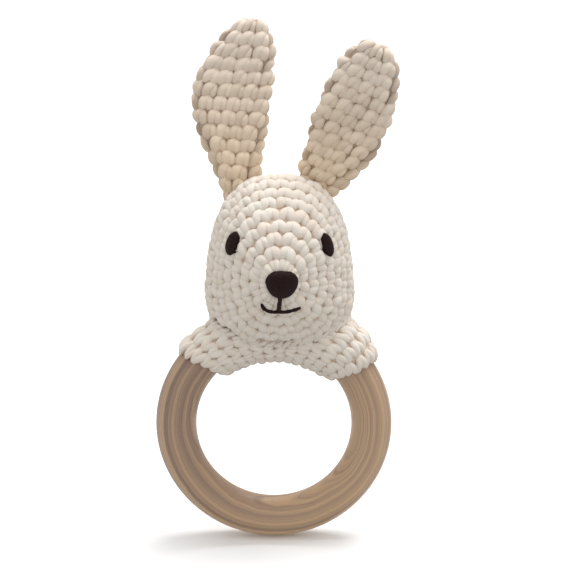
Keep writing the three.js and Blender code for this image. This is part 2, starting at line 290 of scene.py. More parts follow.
def bezier(a, b, c, d):
    t = np.linspace(0, 1, 40)[:, None]
    a, b, c, d = (np.array(p, float) for p in (a, b, c, d))
    return a * (1 - t) ** 3 + 3 * b * t * (1 - t) ** 2 + 3 * c * t ** 2 * (1 - t) + d * t ** 3


def ear_edge(foot, widest, tip):
    """One edge of an ear, from its foot out to where it is widest and on to the tip."""
    wide, at, full = widest
    low = bezier((foot, -1), (foot * 1.15, at * 0.3), (wide, at * 0.55), (wide, at))
    shoulder = (wide, at + full * 0.75 * (tip[1] - at))
    high = bezier((wide, at), shoulder, (tip[0] + full * (wide - tip[0]), tip[1]), tip)
    return np.vstack([low, high[1:]])


def ear_frame(side):
    """The ear's across, up and front axes as columns, and the middle of its base."""
    joint = next(j for j in frame["joints"] if j["name"] == f"ear_{side}_flop")
    lean, back = math.radians(EARS[side]["lean"]), math.radians(EARS[side]["back"])
    up = np.array([math.sin(lean) * math.cos(back), math.sin(back), math.cos(lean) * math.cos(back)])
    across = unit(np.array(joint["axis"], float))
    return np.stack([across, up, np.cross(across, up)], axis=1), np.array(joint["pos_m"]) / MM


def ear_skin(side, inset, half_thick):
    """Rounds of the flattened ear, from its tip to its base."""
    ear = EARS[side]
    left, right = (ear_edge(foot, wide, ear["tip"]) for foot, wide in zip(ear["foot"], ear["widest"]))
    top = ear["tip"][1] - inset
    dome = 6.0  # the tip is rounded over this length
    near_tip = top - dome * (1 - np.cos(np.linspace(0.06, math.pi / 2, 16)))
    rise = np.concatenate([near_tip, np.arange(top - dome - 0.5, EAR_ROOT, -0.6)])
    rounding = np.sqrt(1 - np.clip((rise - top + dome) / dome, 0, 1) ** 2)
    low = np.interp(rise, left[:, 1], left[:, 0]) + inset
    high = np.interp(rise, right[:, 1], right[:, 0]) - inset
    tuck = 2.0 * np.clip((1.5 - rise) / 4, 0, 1)  # the foot narrows into the head
    low, high = low + tuck, high - tuck
    middle, half = (low + high) / 2, np.maximum((high - low) / 2, 0.2)
    thick = half_thick * (0.25 + 0.75 * rounding)
    turn = np.linspace(0, 2 * math.pi, 200, endpoint=False)[None, :]
    flat = 0.75  # below 1 this squares the cross-section off
    c, s = np.cos(turn), np.sin(turn)
    across = middle[:, None] + half[:, None] * np.sign(c) * np.abs(c) ** flat
    front = thick[:, None] * np.sign(s) * np.abs(s) ** flat
    up = rise[:, None] + 0 * turn
    cup = 0.9 * ((across - middle[:, None]) / 12) ** 2 * np.clip(up / 20, 0, 1)
    axes, base = ear_frame(side)
    points = np.stack([across, up, front + cup], axis=-1) @ axes.T + base
    return Skin(points, columns=200, outward=1)


# ---- meshes -------------------------------------------------------------------------------------


def new_object(name, data):
    made = bpy.data.objects.new(name, data)
    bpy.context.scene.collection.objects.link(made)
    return made


def ring_run(points, count):
    """Points spread evenly along a smooth curve through control points."""
    fine = smooth_weights(len(points), 12 * len(points)) @ points
    reach = np.concatenate([[0.0], np.cumsum(np.linalg.norm(np.diff(fine, axis=0), axis=1))])
    at = np.linspace(0, reach[-1], count)
    return np.stack([np.interp(at, reach, fine[:, k]) for k in range(3)], axis=1), at


def smooth_weights(controls, count):
    """A table that turns control values into count values on a smooth curve through them."""
    table = np.zeros((count, controls))
    for row, t in enumerate(np.linspace(0, controls - 1, count)):
        i = min(int(t), controls - 2)
        u = t - i
        basis = (
            (-u + 2 * u ** 2 - u ** 3) / 2,
            (2 - 5 * u ** 2 + 3 * u ** 3) / 2,
            (u + 4 * u ** 2 - 3 * u ** 3) / 2,
            (u ** 3 - u ** 2) / 2,
        )
        for k, weight in enumerate(basis):
            table[row, min(max(i - 1 + k, 0), controls - 1)] += weight
    return table


class Fabric:
    """Collects strands and sheets into one mesh. Each corner has a place on its strand, in turns round
    it and millimetres along it, and each point has a shade from 0, open, to 1, deep in the fabric: painted
    shade, with some tone that differs at random."""

    def __init__(self):
        self.points, self.shades, self.count = [], [], 0
        self.faces = {3: [], 4: []}
        self.places = {3: [], 4: []}

    def add(self, points, shades):
        self.points.append(points)
        self.shades.append(np.broadcast_to(shades, len(points)))
        self.count += len(points)
        return self.count - len(points)

    def add_faces(self, faces, places):
        sides = faces.shape[1]
        self.faces[sides].append(faces)
        self.places[sides].append(places.reshape(-1, sides, 2))

    def strands(self, centres, aside, wide, high, shade, sides=10):
        """Closed tubes. centres are (strand, ring, 3), aside is each ring's axis for its half width."""
        many, rings = centres.shape[:2]
        tangent = unit(np.gradient(centres, axis=1))
        out = np.cross(tangent, aside)
        turn = np.arange(sides) / sides * 2 * math.pi
        spread = aside[:, :, None] * (wide[..., None] * np.cos(turn))[..., None]
        rise = out[:, :, None] * (high[..., None] * np.sin(turn))[..., None]
        shell = centres[:, :, None] + spread + rise
        first = centres[:, :1] - (centres[:, 1:2] - centres[:, :1]) * 0.35
        last = centres[:, -1:] + (centres[:, -1:] - centres[:, -2:-1]) * 0.35
        points = np.concatenate([first, shell.reshape(many, rings * sides, 3), last], axis=1)
        tone = np.concatenate([shade[:, :1], np.repeat(shade, sides, axis=1), shade[:, -1:]], axis=1)
        start = self.add(points.reshape(-1, 3), tone.reshape(-1))
        starts = start + np.arange(many)[:, None, None] * (rings * sides + 2)

        steps = np.linalg.norm(np.diff(centres, axis=1, prepend=centres[:, :1]), axis=2)
        stagger = np.arange(many)[:, None] * 7.31  # so that the plies of neighbours don't line up
        along = np.cumsum(steps, axis=1) + stagger
        j = np.arange(sides)
        k = (j + 1) % sides
        r = np.arange(rings - 1)[:, None]
        near = 1 + r * sides
        far = near + sides
        quads = np.stack([near + j, near + k, far + k, far + j], axis=-1)
        around = np.stack([j, j + 1, j + 1, j], axis=-1) / sides
        rows = np.stack([r + 0 * j, r + 0 * j, r + 1 + 0 * j, r + 1 + 0 * j], axis=-1)
        places = np.stack(np.broadcast_arrays(around, along[:, rows]), axis=-1)
        self.add_faces((starts + quads.reshape(1, -1, 4)).reshape(-1, 4), places)

        end = rings * sides + 1
        fans = [(0 * j, 1 + k, 1 + j, 0), (end + 0 * j, end - sides + j, end - sides + k, rings - 1)]
        for tip, a, b, row in fans:
            fan = np.stack([tip, a, b], axis=-1)
            spread = np.stack([j + 0.5, j + 1, j], axis=-1) / sides
            places = np.stack(np.broadcast_arrays(spread, along[:, row][:, None, None]), axis=-1)
            self.add_faces((starts + fan[None]).reshape(-1, 3), places)

    def cord(self, points, radius, sides=10, step=0.45, shade=0.3, lumps=0.0, lump_length=2.0):
        """A round cord through points, with rounded ends, and lumps along it where it is stitched."""
        points = np.array(points, float)
        length = np.linalg.norm(np.diff(points, axis=0), axis=1).sum()
        path, at = ring_run(points, max(5, int(length / step)))
        tangent = unit(np.gradient(path, axis=0))
        up = np.array([0.0, -1.0, 0.0]) if abs(tangent[0, 1]) < 0.8 else np.array([0.0, 0.0, 1.0])
        aside = np.zeros_like(path)
        for i, way in enumerate(tangent):
            up = unit(up - way * (up @ way))
            aside[i] = np.cross(up, way)
        from_end = np.minimum(np.minimum(at, at[-1] - at) / radius, 1)
        size = radius * np.sqrt(np.maximum(from_end * (2 - from_end), 0.2))
        size = size * (1 - lumps * np.cos(at / lump_length * math.pi) ** 8)
        self.strands(path[None], aside[None], size[None], size[None], np.full((1, len(at)), shade), sides)

    def sheet(self, rows, shade, looped=False):
        """A closed surface from closed rows: with a point at each end, or looped from last to first."""
        many, columns = rows.shape[:2]
        j = np.arange(columns)
        k = (j + 1) % columns
        r = np.arange(many if looped else many - 1)[:, None]
        n = (r + 1) % many
        quads = np.stack([r * columns + j, r * columns + k, n * columns + k, n * columns + j], axis=-1)
        quads = quads.reshape(-1, 4)
        points = rows.reshape(-1, 3)
        if signed_volume(points, quads) < 0:
            quads = quads[:, ::-1]
        start = self.add(points, shade)
        self.add_faces(start + quads, np.zeros((quads.size, 2)))
        if looped:
            return
        for row, end in ((rows[0], 0), (rows[-1], (many - 1) * columns)):
            centre = self.add(row.mean(axis=0)[None], shade)
            fan = np.stack([centre + 0 * j, start + end + j, start + end + k], axis=-1)
            inside = points.mean(axis=0) - row.mean(axis=0)
            facing = np.cross(row[0] - row.mean(axis=0), row[1] - row.mean(axis=0)) @ inside
            self.add_faces(fan[:, ::-1] if facing > 0 else fan, np.zeros((fan.size, 2)))

    def build(self, name, material):
        mesh = bpy.data.meshes.new(name)
        faces = [np.concatenate(group) for group in self.faces.values() if group]
        corners = np.concatenate([group.ravel() for group in faces])
        sides = np.concatenate([np.full(len(group), group.shape[1]) for group in faces])
        mesh.vertices.add(self.count)
        mesh.vertices.foreach_set("co", (np.concatenate(self.points) * MM).astype(np.float32).ravel())
        mesh.loops.add(len(corners))
        mesh.loops.foreach_set("vertex_index", corners.astype(np.int32))
        mesh.polygons.add(len(sides))
        mesh.polygons.foreach_set("loop_start", (np.cumsum(sides) - sides).astype(np.int32))
        mesh.update(calc_edges=True)
        places = [np.concatenate(group).reshape(-1, 2) for group in self.places.values() if group]
        layer = mesh.uv_layers.new(name="strand")
        layer.data.foreach_set("uv", np.concatenate(places).astype(np.float32).ravel())
        shade = mesh.attributes.new("shade", "FLOAT", "POINT")
        shade.data.foreach_set("value", np.concatenate(self.shades).astype(np.float32))
        mesh.shade_smooth()
        mesh.materials.append(material)
        return new_object(name, mesh)


def signed_volume(points, quads):
    a, b, c, d = (points[quads[:, k]] for k in range(4))
    return np.einsum("ij,ij->", a, np.cross(b, c)) + np.einsum("ij,ij->", a, np.cross(c, d))


# ---- crochet ------------------------------------------------------------------------------------

# A stitch is two plump legs of yarn that meet at its apex, and the apex tucks under the row beyond.
# Each leg's points: across (stitch widths), towards the apex (row heights), out of the fabric (mm),
# and the yarn's half width there (stitch widths) and half thickness (mm).
MIRROR = np.array([-1, 1, 1, 1, 1])
HEAD_LEG = np.array([
    [0.00, 0.50, -0.75, 0.25, 0.75],
    [0.07, 0.31, 0.10, 0.33, 1.00],
    [0.17, 0.10, 0.40, 0.38, 1.10],
    [0.28, -0.12, 0.36, 0.38, 1.10],
    [0.39, -0.33, 0.04, 0.32, 1.00],
    [0.47, -0.52, -0.75, 0.25, 0.75],
])
HEAD_STITCH = (HEAD_LEG, HEAD_LEG * MIRROR)
SLEEVE_LEG = np.array([
    [0.02, 0.56, -0.30, 0.24, 0.50],
    [0.08, 0.38, 0.15, 0.33, 0.85],
    [0.17, 0.13, 0.40, 0.38, 1.00],
    [0.27, -0.12, 0.38, 0.39, 1.00],
    [0.37, -0.36, 0.12, 0.34, 0.85],
    [0.43, -0.56, -0.30, 0.24, 0.50],
])
SLEEVE_STITCH = (SLEEVE_LEG, SLEEVE_LEG * MIRROR)
EAR_STITCH = (
    np.array([
        [0.26, -0.60, -0.90, 0.24, 0.80],
        [0.26, -0.42, 0.08, 0.33, 1.10],
        [0.21, -0.12, 0.48, 0.37, 1.25],
        [0.07, 0.16, 0.48, 0.38, 1.25],
        [-0.14, 0.36, 0.08, 0.32, 1.05],
        [-0.34, 0.50, -0.80, 0.24, 0.80],
    ]),
    np.array([
        [-0.25, -0.62, -0.90, 0.23, 0.80],
        [-0.25, -0.42, 0.08, 0.31, 1.05],
        [-0.26, -0.12, 0.42, 0.35, 1.15],
        [-0.26, 0.14, 0.30, 0.34, 1.10],
        [-0.21, 0.36, -0.40, 0.26, 0.85],
    ]),
)
# The first round is a closed ring of short straight posts.
POST = np.array([
    [0.0, 0.56, -0.50, 0.38, 0.80],
    [0.0, 0.32, 0.15, 0.44, 1.00],
    [0.0, 0.00, 0.30, 0.44, 1.05],
    [0.0, -0.30, 0.15, 0.42, 1.00],
    [0.0, -0.52, -0.50, 0.34, 0.80],
])
POST_STITCH = (POST + [-0.25, 0, 0, 0, 0], POST + [0.25, 0, 0, 0, 0])


def crochet(fabric, skin, rows, apex, rng, stitch, rings=9, sides=10, keep=None):
    """Lays rows of stitches on a skin. rows holds (s, height, stitches, phase), and apex is 1 or -1,
    the way along s that the stitches point."""
    for s, height, stitches, phase in rows:
        width = skin.girth(s) / stitches
        middle = (np.arange(stitches) + 0.5 + phase) / stitches
        if keep is not None:
            middle = middle[keep(skin.at(middle, np.full(stitches, s))[0])]
        many = len(middle)
        if not many:
            continue
        middle = middle[:, None]
        beside = skin.at(middle + 0.25 / stitches, np.full((many, 1), s))[0]
        here = skin.at(middle - 0.25 / stitches, np.full((many, 1), s))[0]
        across = unit(beside - here)
        drift = 0.06 * rng.standard_normal((many, 1))
        for leg in stitch:
            weights = smooth_weights(len(leg), rings)
            u = leg[:, 0] * (1 + 0.10 * rng.standard_normal((many, 1))) + drift
            stretch = 1 + 0.06 * rng.standard_normal((many, 1))
            v = leg[:, 1] * stretch + 0.04 * rng.standard_normal((many, 1))
            h = leg[:, 2] + 0.10 * rng.standard_normal((many, 1))
            point, normal = skin.at(middle + u / stitches, s + apex * v * height)
            path = np.einsum("rk,mkc->mrc", weights, point + normal * h[..., None])
            tangent = unit(np.gradient(path, axis=1))
            aside = unit(across - tangent * (across * tangent).sum(axis=-1, keepdims=True))
            out = np.cross(tangent, aside)[:, rings // 2]
            facing = (out * normal[:, len(leg) // 2]).sum(axis=-1)
            aside = aside * np.where(facing < 0, -1, 1)[:, None, None]
            size = 1 + 0.07 * rng.standard_normal((many, 1))
            wide = (weights @ leg[:, 3]) * min(width, STITCH * 1.15) * size
            high = (weights @ leg[:, 4]) * size
            # Painted shade: the yarn gets darker where a leg dives into the fabric; the random part is each
            # stitch's own difference of tone.
            deep = np.clip(0.1 - (weights @ leg[:, 2]), 0, 1.0)
            tone = np.clip(0.25 * rng.random((many, 1)) + 0.55 * deep[None, :], 0, 1)
            fabric.strands(path, aside, wide, high, tone, sides)


def even_rows(skin, start, stop, height, width, step_aside):
    """Rows of stitches from start to stop, as close to height and width as whole numbers allow."""
    count = max(1, round((stop - start) / height))
    step = (stop - start) / count
    rows = []
    for i in range(count):
        s = start + (i + 0.5) * step
        rows.append((s, step, max(6, round(skin.girth(s) / width)), step_aside * i))
    return rows


def whip_stitches(fabric, loop, normals_a, normals_b, reach, radius, slant, sink, rng):
    """Sewing that crosses a crease, from the surface with normals_a to the one with normals_b, and is
    sunk into it."""
    way = unit(np.roll(loop, -1, axis=0) - np.roll(loop, 1, axis=0))
    for point, tangent, a, b in zip(loop, way, normals_a, normals_b):
        up_a = unit(np.cross(tangent, a))
        up_a *= np.sign(up_a @ b)
        up_b = unit(np.cross(tangent, b))
        up_b *= np.sign(up_b @ a)
        far = reach * (1 + 0.15 * rng.standard_normal())
        point = point - unit(a + b) * sink
        aside = tangent * slant
        points = [
            point + up_a * far - a * 0.7 + aside,
            point + up_a * far * 0.7 + a * 0.35 + aside * 0.7,
            point + (a + b) * 0.45,
            point + up_b * far * 0.7 + b * 0.35 - aside * 0.7,
            point + up_b * far - b * 0.6 - aside,
        ]
        fabric.cord(points, radius, sides=8, step=0.5)


# ---- materials ----------------------------------------------------------------------------------


class Nodes:
    """Short names for building a material's node tree."""

    def __init__(self, name, **principled):
        self.material = bpy.data.materials.new(name)
        self.material.use_nodes = True
        self.tree = self.material.node_tree
        self.shader = self.tree.nodes["Principled BSDF"]
        for socket, value in principled.items():
            self.shader.inputs[socket.replace("_", " ")].default_value = value

    def node(self, kind, inputs=(), **settings):
        made = self.tree.nodes.new(kind)
        for key, value in settings.items():
            setattr(made, key, value)
        for key, value in dict(inputs).items():
            if isinstance(value, bpy.types.NodeSocket):
                self.tree.links.new(value, made.inputs[key])
            else:
                made.inputs[key].default_value = value
        return made

    def place(self):
        return self.node("ShaderNodeTexCoord").outputs["Object"]

    def math(self, operation, a, b=0.0, c=0.0):
        return self.node("ShaderNodeMath", {0: a, 1: b, 2: c}, operation=operation).outputs[0]

    def noise(self, vector, scale, detail=2.0, roughness=0.5):
        inputs = {"Vector": vector, "Scale": scale, "Detail": detail, "Roughness": roughness}
        return self.node("ShaderNodeTexNoise", inputs).outputs["Fac"]

    def noise_1d(self, place, detail=2.0, roughness=0.5):
        inputs = {"W": place, "Scale": 1.0, "Detail": detail, "Roughness": roughness}
        return self.node("ShaderNodeTexNoise", inputs, noise_dimensions="1D").outputs["Fac"]

    def ramp(self, factor, *stops):
        made = self.node("ShaderNodeValToRGB", {"Fac": factor})
        ramp = made.color_ramp
        while len(ramp.elements) < len(stops):
            ramp.elements.new(0.5)
        for element, (place, colour) in zip(ramp.elements, stops):
            element.position = place
            element.color = (*colour, 1)
        return made.outputs["Color"]

    def bump(self, height, distance, strength=1.0):
        inputs = {"Height": height, "Distance": distance, "Strength": strength}
        return self.node("ShaderNodeBump", inputs).outputs[0]

    def finish(self, **links):
        for socket, source in links.items():
            self.tree.links.new(source, self.shader.inputs[socket.replace("_", " ")])
        return self.material


def srgb(r, g, b):
    """A colour as seen on a screen, from 0 to 255, as the shader's linear values."""
    return tuple(((c / 255 + 0.055) / 1.055) ** 2.4 for c in (r, g, b))


def mid_tone(a, b, share):
    return tuple((1 - share) * x + share * y for x, y in zip(a, b))


def yarn_material(name, light, deep, plies=3, fibres=15, lay=7.0, crease=0.42, foot=None):
    """Spun yarn: plies that wind round the strand, fine fibre lines along them, fuzz, and painted shade, a
    deeper tone where the strand dives into the fabric and down in the creases beside it. foot is painted
    shade too, a darker, warmer tint that the yarn takes towards the foot of the ears."""
    n = Nodes(name, Roughness=0.9, Sheen_Weight=0.25, Sheen_Roughness=0.45)
    split = n.node("ShaderNodeSeparateXYZ", {0: n.node("ShaderNodeUVMap", uv_map="strand").outputs[0]})
    place = n.place()
    wander = n.noise(place, 900.0)
    wind = n.math("MULTIPLY_ADD", split.outputs[1], 1 / lay, split.outputs[0])
    drift = n.math("MULTIPLY_ADD", wander, 0.12, wind)
    ply = n.math("SINE", n.math("MULTIPLY", drift, 2 * math.pi * plies))
    fibre = n.math("SINE", n.math("MULTIPLY", drift, 2 * math.pi * fibres))
    fuzz = n.noise(place, 2600.0, detail=3.0, roughness=0.7)
    lines = n.math("MULTIPLY_ADD", fibre, 0.10, n.math("MULTIPLY", fuzz, 0.9))
    height = n.math("MULTIPLY_ADD", ply, 0.15, lines)
    shade = n.node("ShaderNodeAttribute", attribute_name="shade").outputs["Fac"]
    patch = n.math("SUBTRACT", n.noise(place, 120.0), 0.5)
    # Painted crease shade: where a strand's surface turns away from the fabric's outside, down into the creases
    # beside it, its tone deepens by crease.
    outward = n.math("MAXIMUM", n.math("SINE", n.math("MULTIPLY", split.outputs[0], 2 * math.pi)), 0.0)
    beside = n.math("POWER", n.math("SUBTRACT", 1.0, outward), 1.6)
    tone = n.math("MULTIPLY_ADD", patch, 0.25, n.math("MULTIPLY_ADD", beside, crease, shade))
    tone = n.math("MULTIPLY_ADD", fibre, -0.04, tone)
    colour = n.ramp(tone, (0.0, light), (0.45, mid_tone(light, deep, 0.4)), (1.0, deep))
    # Painted shade: towards the ear's foot the colour gets darker and warmer.
    if foot:
        rise = n.node("ShaderNodeAttribute", attribute_name="rise").outputs["Fac"]
        tint = n.ramp(rise, (0.12, foot), (0.8, (1, 1, 1)))
        colour = n.node("ShaderNodeVectorMath", {0: colour, 1: tint}, operation="MULTIPLY").outputs[0]
    return n.finish(Base_Color=colour, Normal=n.bump(height, 0.00016, 0.7))


def wood_material():
    """Pale turned beech. Its growth layers run round the ring, so they show as long soft streaks."""
    n = Nodes("ring_wood", Roughness=0.55, Coat_Weight=0.2, Coat_Roughness=0.3)
    place = n.place()
    heart = n.node("ShaderNodeMapping", {"Vector": place, "Location": (-0.0016, 0.0, -0.0365)}).outputs[0]
    split = n.node("ShaderNodeSeparateXYZ", {0: heart})
    across = n.math("MULTIPLY", split.outputs[0], split.outputs[0])
    reach = n.math("SQRT", n.math("MULTIPLY_ADD", split.outputs[2], split.outputs[2], across))
    cone = n.math("MULTIPLY_ADD", split.outputs[1], 0.45, reach)
    depth = n.math("MULTIPLY_ADD", n.noise(place, 55.0, detail=2.0), 0.0022, cone)
    lines = n.noise_1d(n.math("MULTIPLY", depth, 2100.0), detail=3.0, roughness=0.7)
    bands = n.noise_1d(n.math("MULTIPLY", depth, 420.0), detail=1.0)
    broken = n.noise(place, 160.0)
    pores = n.noise(place, 2400.0, detail=2.0, roughness=0.6)
    streaks = n.math("MULTIPLY", n.math("SUBTRACT", lines, 0.5), n.math("MULTIPLY", broken, 2.2))
    # Painted light and shade: the wood gets lighter towards the ring's right side and its bottom, and along the
    # bar's inner and outer edges, and darker along the middle of its face.
    side = n.math("MULTIPLY_ADD", split.outputs[0], -4.2, 0.66)
    painted_rim_light = n.math("ABSOLUTE", n.math("SUBTRACT", reach, 0.029))
    painted_light_and_shade = n.math("MULTIPLY_ADD", painted_rim_light, -24.0, n.math("MULTIPLY_ADD", split.outputs[2], 3.5, side))
    tone = n.math("MULTIPLY_ADD", n.math("SUBTRACT", bands, 0.5), 0.8, painted_light_and_shade)
    tone = n.math("ADD", streaks, tone)
    tone = n.math("MULTIPLY_ADD", n.math("SUBTRACT", pores, 0.5), 0.18, tone)
    colours = ((0.1, srgb(198, 163, 123)), (0.5, srgb(168, 139, 111)), (0.95, srgb(124, 99, 84)))
    rough = n.math("MULTIPLY_ADD", lines, 0.2, 0.45)
    return n.finish(Base_Color=n.ramp(tone, *colours), Roughness=rough, Normal=n.bump(lines, 0.00004, 0.5))


def thread_material():
    """Dark brown embroidery thread, a little silky."""
    n = Nodes("dark_thread", Roughness=0.65, Specular_IOR_Level=0.12)
    split = n.node("ShaderNodeSeparateXYZ", {0: n.node("ShaderNodeUVMap", uv_map="strand").outputs[0]})
    wind = n.math("MULTIPLY_ADD", split.outputs[1], 0.45, split.outputs[0])
    ply = n.math("SINE", n.math("MULTIPLY", wind, 2 * math.pi * 2))
    fuzz = n.noise(n.place(), 3000.0, detail=3.0, roughness=0.7)
    height = n.math("MULTIPLY_ADD", ply, 0.3, fuzz)
    tone = n.math("MULTIPLY_ADD", ply, 0.10, fuzz)
    colour = n.ramp(tone, (0.2, srgb(18, 8, 8)), (0.9, srgb(44, 22, 20)))
    return n.finish(Base_Color=colour, Normal=n.bump(height, 0.00010, 0.6))


def plastic_material(name, colour, roughness):
    n = Nodes(name, Coat_Weight=0.1)
    place = n.place()
    cloud = n.noise(place, 300.0)
    tint = n.ramp(cloud, (0.3, colour), (0.8, mid_tone(colour, (0, 0, 0), 0.15)))
    rough = n.math("MULTIPLY_ADD", cloud, 0.12, roughness)
    return n.finish(Base_Color=tint, Roughness=rough, Normal=n.bump(n.noise(place, 2500.0), 0.00002, 0.4))


def wadding_material():
    n = Nodes("wadding", Roughness=1.0, Sheen_Weight=0.4)
    tufts = n.noise(n.place(), 700.0, detail=5.0, roughness=0.75)
    colour = n.ramp(tufts, (0.2, srgb(214, 213, 208)), (0.8, srgb(247, 247, 244)))
    return n.finish(Base_Color=colour, Normal=n.bump(tufts, 0.0006, 0.9))


# Each yarn's deep tone is mostly painted shade for the pits and creases between stitches, and partly the random
# patches of tone.
HEAD_YARN = yarn_material("head_cotton", srgb(225, 217, 206), srgb(205, 179, 155))
EAR_YARN = yarn_material(
    "ear_cotton", srgb(227, 213, 197), srgb(132, 106, 84), crease=0.36, foot=(0.97, 0.90, 0.79)
)
SEWING = yarn_material(
    "sewing_yarn", srgb(226, 219, 209), srgb(188, 166, 146), plies=2, fibres=8, lay=4.0, crease=0.0
)
THREAD = thread_material()

# ---- ring and sleeve ----------------------------------------------------------------------------


def fixed_piece(piece, body, slot, *nodes):
    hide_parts(*nodes)
    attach(piece, body)


def make_ring():
    ring = Fabric()
    turn = np.linspace(0, 360, 256, endpoint=False)[:, None]
    around = np.linspace(0, 360, 96, endpoint=False)[None, :]
    ring.sheet(beside_ring(turn, BAR_R, around), 0.0, looped=True)
    fixed_piece(ring.build("ring_turned_bar", wood_material()), "grip_ring", "ring_wood", "wooden_ring")


def make_sleeve(rng):
    sleeve = Fabric()
    share = np.linspace(0.01, 0.99, 31)[:, None]
    around = SLEEVE_SEAM_AT + np.linspace(0, 360, 40, endpoint=False)[None, :]
    turn = sleeve_turn(share, around)
    outside = np.maximum(sleeve_radius(share, around) - CROWN + BACKING, BAR_R + 0.6)
    outer, inner = (beside_ring(turn, radius, around) for radius in (outside, BAR_R + 0.2))
    sleeve.sheet(np.concatenate([outer, inner[::-1]]), BACKING_SHADE, looped=True)
    skin = sleeve_skin(CROWN - 0.2)
    rows = even_rows(skin, 0.4, skin.length - 0.4, 4.0, 3.1, 0.5)
    crochet(sleeve, skin, rows, -1, rng, SLEEVE_STITCH, rings=11, sides=12)
    around = SLEEVE_SEAM_AT + np.linspace(4, 356, 60)
    for share in RIM_AT:
        sleeve.cord(beside_ring(sleeve_turn(share, around), BAR_R + 0.1 + RIM_R, around), RIM_R)
    fixed_piece(sleeve.build("sleeve_crochet", HEAD_YARN), "head", "head_cotton", "ring_sleeve")


def make_sleeve_seam(rng):
    """The strip's two edges are sewn together along the back of the sleeve."""
    seam = Fabric()
    for share in np.arange(0.03, 0.97, 0.042):
        around = SLEEVE_SEAM_AT + np.array([-15, -9, 0, 9, 15])
        slant = np.array([0.8, 0.6, 0.0, -0.6, -0.8]) * (1 + 0.1 * rng.standard_normal())
        radius = sleeve_radius(share, around) + np.array([-1.2, -0.1, 0.1, -0.1, -1.2])
        seam.cord(beside_ring(sleeve_turn(share, around) + slant, radius, around), SEWING_YARN, sides=8)
    fixed_piece(seam.build("sleeve_whipstitch", SEWING), "head", "sewing_yarn", "sleeve_seam")


# ---- head ---------------------------------------------------------------------------------------


def outside_sleeve(points):
    q = points - RING_CENTRE
    out = np.hypot(q[:, 0], q[:, 2])
    under = (out < RING_R + 0.5) & (np.abs(q[:, 1]) < SLEEVE_R)
    return ~(under | (np.hypot(out - RING_R, q[:, 1]) < SLEEVE_R - 0.1))


def make_head(rng):
    head = Fabric()
    head.sheet(head_skin(-CROWN + BACKING, SLEEVE_R - 0.9).rows[::3, ::3], BACKING_SHADE)
    skin = head_skin(-CROWN + 0.2, SLEEVE_R - 0.4)
    crochet(head, skin, [FIRST_ROUND], 1, rng, POST_STITCH)
    start = FIRST_ROUND[0] + FIRST_ROUND[1] / 2
    rows = even_rows(skin, start, skin.length - 2.0, ROW, STITCH, 0.3)
    crochet(head, skin, rows, 1, rng, HEAD_STITCH, keep=outside_sleeve)
    piece = head.build("head_crochet", HEAD_YARN)
    fixed_piece(piece, "head", "head_cotton", "head_cover")


def neck_loop(count):
    """The crease where the head meets the sleeve. It is looked for from the sleeve's top, outwards."""
    heading = np.linspace(0, 2 * math.pi, count, endpoint=False)
    share_per_degree = 0.0043  # how far a line runs along the sleeve, against how far it runs round it

    def place(reach):
        share = 0.5 + share_per_degree * reach * np.cos(heading)
        around = reach * np.sin(heading)
        return beside_ring(sleeve_turn(share, around), sleeve_radius(share, around), around)

    start = np.zeros(count)
    return Skin.even(place(leave_head(place, start, start + 150.0)), count)


def sleeve_normal(points):
    q = points - RING_CENTRE
    middle = RING_R * unit(q * [1, 0, 1])
    return unit(q - middle)


def make_neck_seam(rng):
    seam = Fabric()
    loop = neck_loop(44)
    whip_stitches(seam, loop, head_normal(loop), sleeve_normal(loop), 1.2, 0.75, 1.3, 0.9, rng)
    fixed_piece(seam.build("neck_whipstitch", SEWING), "head", "sewing_yarn", "neck_seam")


def make_closing_stitch():
    """The last round is drawn closed and darned across, at the back of the head."""
    knot = Fabric()
    centre = HEAD_CENTRE + [0, HEAD_BACK, 0]
    for turn in np.arange(0, math.pi, math.pi / 3):
        way = np.array([math.cos(turn), 0, math.sin(turn)])
        out = np.array([0, 1, 0])
        reach = ((-2.6, -0.9), (-1.7, 0.2), (0.0, 0.55), (1.7, 0.2), (2.6, -0.9))
        knot.cord([centre + way * r + out * lift for r, lift in reach], SEWING_YARN, sides=8)
    fixed_piece(knot.build("head_darning", SEWING), "head", "sewing_yarn", "head_closing_stitch")


def make_stuffing(node):
    """Wadding in tufts, made from the space that its CAD solid fills."""
    source = frame["nodes"][node]
    piece = new_object(f"{node}_wadding", source.data.copy())
    remesh = piece.modifiers.new("remesh", "REMESH")
    remesh.mode = "VOXEL"
    remesh.voxel_size = 0.0011
    graph = bpy.context.evaluated_depsgraph_get()
    mesh = bpy.data.meshes.new_from_object(piece.evaluated_get(graph))
    piece.modifiers.clear()
    piece.data = mesh
    depth = 0.0006
    for vertex in mesh.vertices:
        tuft = noise.fractal(vertex.co * 180, 1.0, 2.0, 3)
        vertex.co -= vertex.normal * (depth + depth * max(-0.7, min(tuft, 0.7)))
    mesh.shade_smooth()
    mesh.materials.clear()
    mesh.materials.append(bpy.data.materials["wadding"])
    fixed_piece(piece, "head", "wadding", node)


# ---- face ---------------------------------------------------------------------------------------


